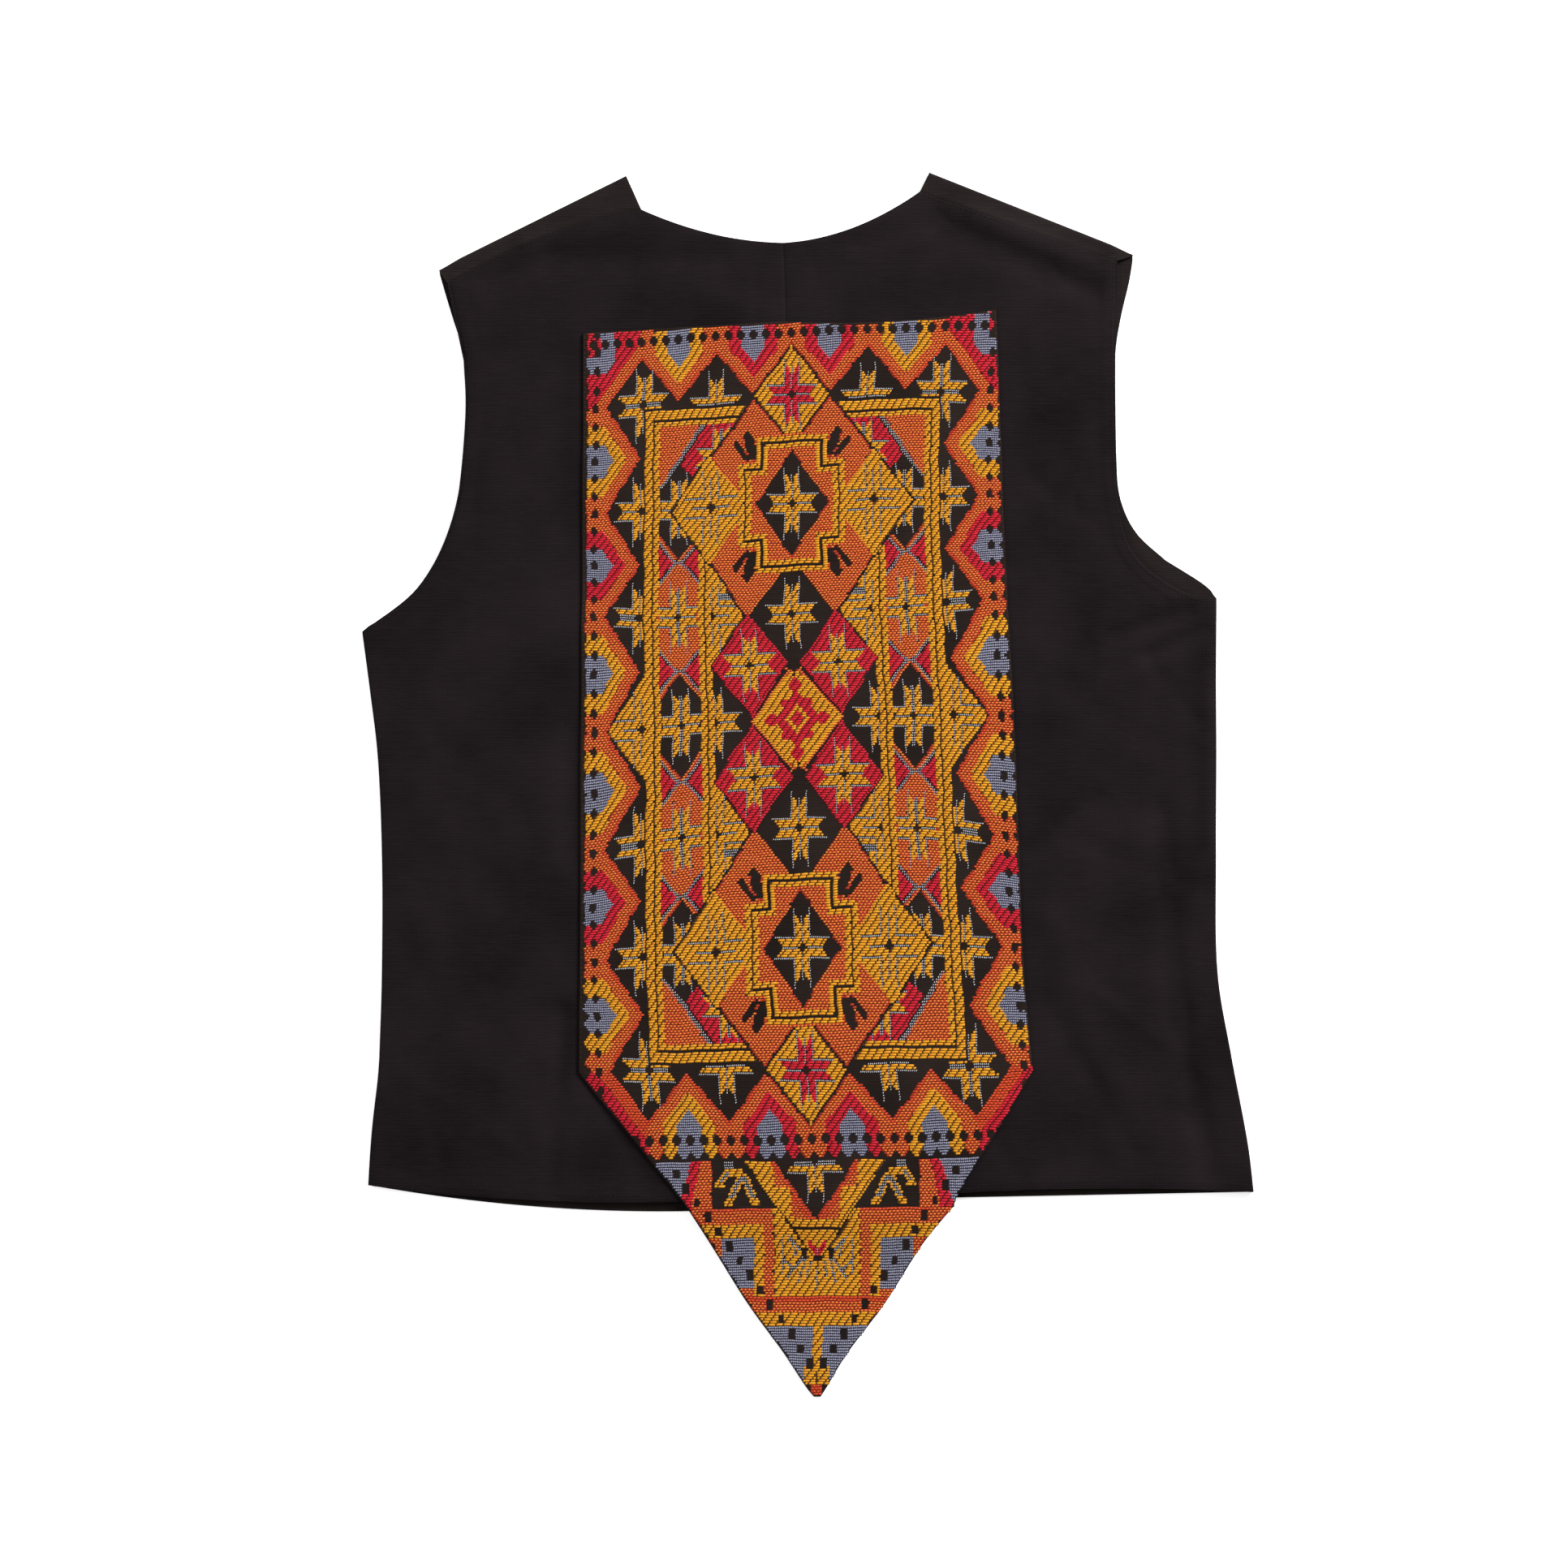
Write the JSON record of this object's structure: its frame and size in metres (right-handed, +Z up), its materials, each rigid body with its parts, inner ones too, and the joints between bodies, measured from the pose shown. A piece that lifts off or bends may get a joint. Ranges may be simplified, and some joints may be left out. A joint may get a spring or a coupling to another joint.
{
  "type": "embroidered folk vest",
  "caption": "Sleeveless black folk vest laid flat with its back up, a brocaded geometric panel sewn on the back and ending in a point below the hem.",
  "frame": {"origin": "on the ground under the middle of the vest's outline", "axes": "+X across the vest to the right as seen from above with the back up, +Y from the hem towards the neck, +Z up, away from the ground"},
  "size_m": [0.5219, 0.717, 0.0066],
  "materials": {
    "black_cotton": "plain-woven black cotton, matt, softly creased",
    "brocade": "black ground brocaded in golden yellow, orange, red, grey-blue and silver-grey yarn, matt with raised floats"
  },
  "bodies": {
    "root": {"front_left": "black_cotton", "front_right": "black_cotton", "back_left": "black_cotton", "back_right": "black_cotton", "woven_panel": "brocade"}
  },
  "joints": []
}
